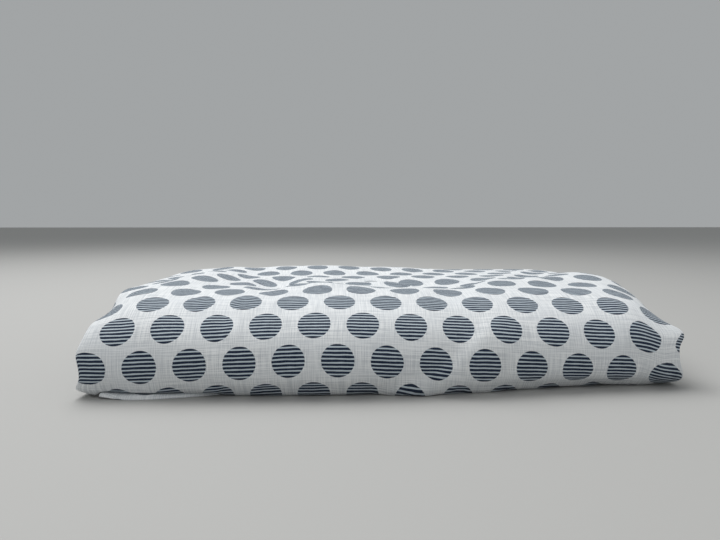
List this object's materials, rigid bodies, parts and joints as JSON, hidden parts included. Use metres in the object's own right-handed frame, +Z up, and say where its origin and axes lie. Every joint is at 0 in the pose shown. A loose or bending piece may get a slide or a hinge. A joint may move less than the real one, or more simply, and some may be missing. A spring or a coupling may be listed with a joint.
{
  "type": "folded ramie fabric",
  "caption": "Length of printed ramie cloth folded back and forth into a soft flat bundle with one big rounded front roll.",
  "frame": {"origin": "middle of the bundle's outline in plan, on the surface it lies on", "axes": "+X along the bundle's long side, +Y from the big rounded front roll to the small folds behind, +Z up"},
  "size_m": [0.3236, 0.199, 0.0563],
  "materials": {
    "ramie_cloth": "matt, open plain weave with uneven threads, printed with dark striped dots on white"
  },
  "bodies": {
    "root": {"folded_cloth": "ramie_cloth"}
  },
  "joints": []
}
